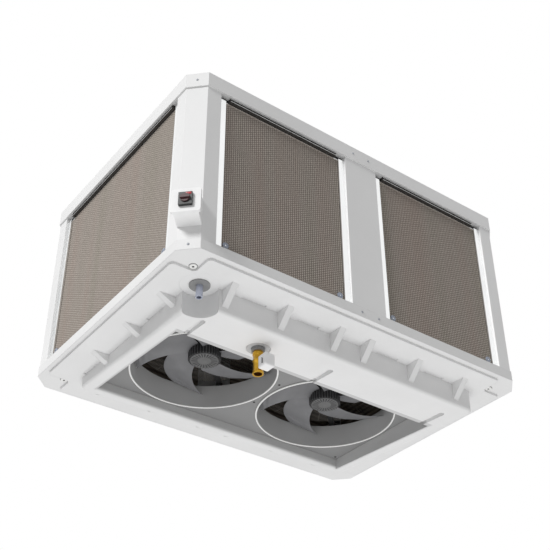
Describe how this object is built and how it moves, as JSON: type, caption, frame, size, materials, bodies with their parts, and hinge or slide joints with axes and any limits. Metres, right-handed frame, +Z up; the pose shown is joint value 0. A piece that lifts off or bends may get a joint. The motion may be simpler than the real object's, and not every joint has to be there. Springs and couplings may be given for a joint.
{
  "type": "adiabatic cooler",
  "caption": "Roof-mounted evaporative air cooler: pad walls round a moulded water tank with bottom-discharge axial fans, float-fed inlet, drain valve and an isolator switch.",
  "frame": {"origin": "centre of the discharge opening, level with the underside of the mounting flange", "axes": "+Z up, +X along the long side, -Y the side with the drain and the water inlet"},
  "size_m": [2.0761, 1.5031, 1.292],
  "materials": {
    "tank": "moulded satin",
    "panel": "powder coated",
    "ring": "powder coated",
    "blade": "moulded matt",
    "motor": "cast and painted",
    "black_steel": "powder coated",
    "black_screw": "blackened",
    "zinc": "zinc plated",
    "frame": "mill finish",
    "pad": "corrugated cellulose",
    "foam": "closed cell foam",
    "black_plastic": "moulded matt",
    "pipe": "extruded",
    "pump": "moulded gloss",
    "grey_plastic": "moulded matt",
    "steel_pipe": "drawn and turned",
    "brass": "turned",
    "float": "blow moulded",
    "steel": "polished",
    "white_plastic": "moulded gloss",
    "dial": "moulded matt"
  },
  "bodies": {
    "case": {"base_tank": "tank", "corner_bolts": "zinc", "fan_deck": "panel", "deck_screws": "black_screw", "fan_shroud_left": "ring", "fan_shroud_right": "ring", "motor_stator_left": "motor", "motor_stator_right": "motor", "motor_support_left": "black_steel", "motor_support_right": "black_steel", "centre_post_front": "panel", "centre_post_back": "panel", "header_blocks": "black_plastic", "pad_seals": "foam", "top_cap": "panel", "cap_screws": "zinc", "rim_screws": "zinc", "water_header": "pipe", "pump_strainer": "black_plastic", "pump_body": "pump", "riser_pipe": "pipe", "inlet_flange": "grey_plastic", "inlet_pipe": "steel_pipe", "float_valve_body": "brass", "drain_bulkhead": "grey_plastic", "drain_nut": "grey_plastic", "drain_valve_body": "brass", "drain_actuator": "white_plastic", "isolator_base": "white_plastic", "isolator_cover": "white_plastic", "isolator_plate": "dial", "switch_block": "black_plastic", "control_box": "zinc", "control_lid": "zinc", "corner_post_front_left": "panel", "corner_post_front_right": "panel", "corner_post_back_right": "panel", "corner_post_back_left": "panel"},
    "fan_left": {"fan_rotor_left": "blade"},
    "fan_right": {"fan_rotor_right": "blade"},
    "knob": {"isolator_knob": "dial"},
    "drain_valve_ball": {"drain_ball": "steel"},
    "float": {"float_arm": "brass", "float_ball": "float"},
    "pump_wheel": {"pump_impeller": "black_plastic"},
    "cassette_front_left": {"pad_frame_front_left": "frame", "cooling_pad_front_left": "pad"},
    "cassette_front_right": {"pad_frame_front_right": "frame", "cooling_pad_front_right": "pad"},
    "cassette_back_right": {"pad_frame_back_right": "frame", "cooling_pad_back_right": "pad"},
    "cassette_back_left": {"pad_frame_back_left": "frame", "cooling_pad_back_left": "pad"},
    "cassette_side_left": {"pad_frame_side_left": "frame", "cooling_pad_side_left": "pad"},
    "cassette_side_right": {"pad_frame_side_right": "frame", "cooling_pad_side_right": "pad"}
  },
  "joints": [
    {"name": "fan_left_spin", "type": "hinge", "parent": "case", "child": "fan_left", "pos_m": [-0.3786, 0.096, 0], "axis": [0, 0, 1], "continuous": true},
    {"name": "fan_right_spin", "type": "hinge", "parent": "case", "child": "fan_right", "pos_m": [0.3786, 0.096, 0], "axis": [0, 0, 1], "continuous": true},
    {"name": "isolator_turn", "type": "hinge", "parent": "case", "child": "knob", "pos_m": [-0.963, -0.675, 0.212], "axis": [-0.7071, -0.7071, 0], "range_deg": [0, 90]},
    {"name": "drain_turn", "type": "hinge", "parent": "case", "child": "drain_valve_ball", "pos_m": [-0.385, -0.37, -0.2], "axis": [0, -1, 0], "range_deg": [0, 90]},
    {"name": "float_swing", "type": "hinge", "parent": "case", "child": "float", "pos_m": [-0.757, -0.504, 0.055], "axis": [0, 1, 0], "range_deg": [0, 20]},
    {"name": "pump_spin", "type": "hinge", "parent": "case", "child": "pump_wheel", "pos_m": [0.25, -0.43, 0], "axis": [0, 0, 1], "continuous": true},
    {"name": "slide_front_left", "type": "slide", "parent": "case", "child": "cassette_front_left", "axis": [0, -1, 0], "range_m": [0, 0.12]},
    {"name": "slide_front_right", "type": "slide", "parent": "case", "child": "cassette_front_right", "axis": [0, -1, 0], "range_m": [0, 0.12]},
    {"name": "slide_back_right", "type": "slide", "parent": "case", "child": "cassette_back_right", "axis": [0, 1, 0], "range_m": [0, 0.12]},
    {"name": "slide_back_left", "type": "slide", "parent": "case", "child": "cassette_back_left", "axis": [0, 1, 0], "range_m": [0, 0.12]},
    {"name": "slide_side_left", "type": "slide", "parent": "case", "child": "cassette_side_left", "axis": [-1, 0, 0], "range_m": [0, 0.12]},
    {"name": "slide_side_right", "type": "slide", "parent": "case", "child": "cassette_side_right", "axis": [1, 0, 0], "range_m": [0, 0.12]}
  ]
}
